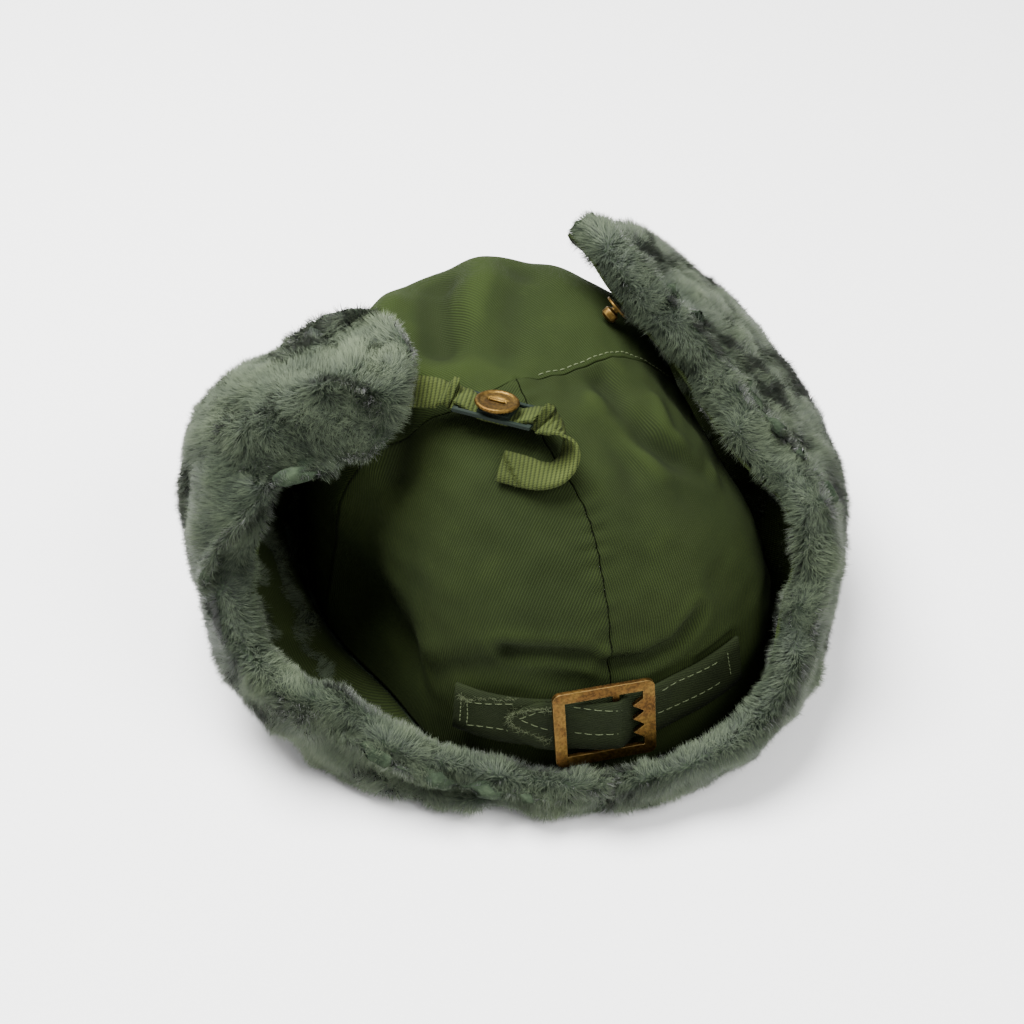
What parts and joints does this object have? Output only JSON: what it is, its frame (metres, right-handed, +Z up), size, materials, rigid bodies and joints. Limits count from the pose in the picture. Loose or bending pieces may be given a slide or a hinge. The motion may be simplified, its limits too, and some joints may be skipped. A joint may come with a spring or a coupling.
{
  "type": "winter field cap",
  "caption": "Green twill winter cap with a fur-lined neck and ear flap turned up, back strap with toothed buckle, and a tie strap with slide and button",
  "frame": {"origin": "under the middle of the cap's box, on the surface that it rests on", "axes": "+Z up, +Y the wearer's front, +X the wearer's right"},
  "size_m": [0.2698, 0.2506, 0.1534],
  "materials": {
    "twill": "cotton twill, matt, slightly worn",
    "fur": "deep green pile fur",
    "webbing": "ribbed cotton webbing",
    "brass": "tarnished brass",
    "enamel": "dark green enamel, worn to steel at the edges"
  },
  "bodies": {
    "root": {"crown_back_panel_right": "twill", "crown_back_panel_left": "twill", "crown_front_panel": "twill", "flap_cloth_right": "twill", "flap_cloth_left": "twill", "flap_fur_right": "fur", "flap_fur_left": "fur", "front_flap_cloth": "twill", "front_flap_fur": "fur", "back_strap_left": "twill", "back_strap_right": "twill", "buckle": "brass", "tie_strap": "webbing", "tie_slide": "enamel", "tie_button": "brass", "flap_stud": "brass"}
  },
  "joints": []
}
